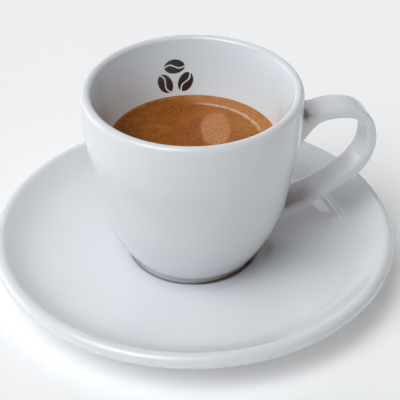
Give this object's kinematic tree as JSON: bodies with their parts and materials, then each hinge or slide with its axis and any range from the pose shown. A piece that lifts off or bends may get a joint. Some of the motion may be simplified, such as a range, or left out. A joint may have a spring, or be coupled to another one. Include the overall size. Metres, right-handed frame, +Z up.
{
  "type": "espresso shot",
  "caption": "Shot of espresso under a layer of crema, in a thick-walled white porcelain cup with a strap handle, standing on its round saucer.",
  "frame": {"origin": "centre of the saucer on the surface that it stands on", "axes": "+Z up along the axis of the cup and saucer, +X towards the cup's handle"},
  "size_m": [0.12, 0.12, 0.0623],
  "materials": {
    "saucer_porcelain": "white porcelain under a clear gloss glaze",
    "cup_porcelain": "white porcelain under a clear gloss glaze",
    "espresso": "dark clear coffee, wet gloss",
    "crema": "fine brown foam with a wet sheen"
  },
  "bodies": {
    "root": {"saucer": "saucer_porcelain", "cup": "cup_porcelain", "espresso": "espresso", "crema": "crema"}
  },
  "joints": []
}
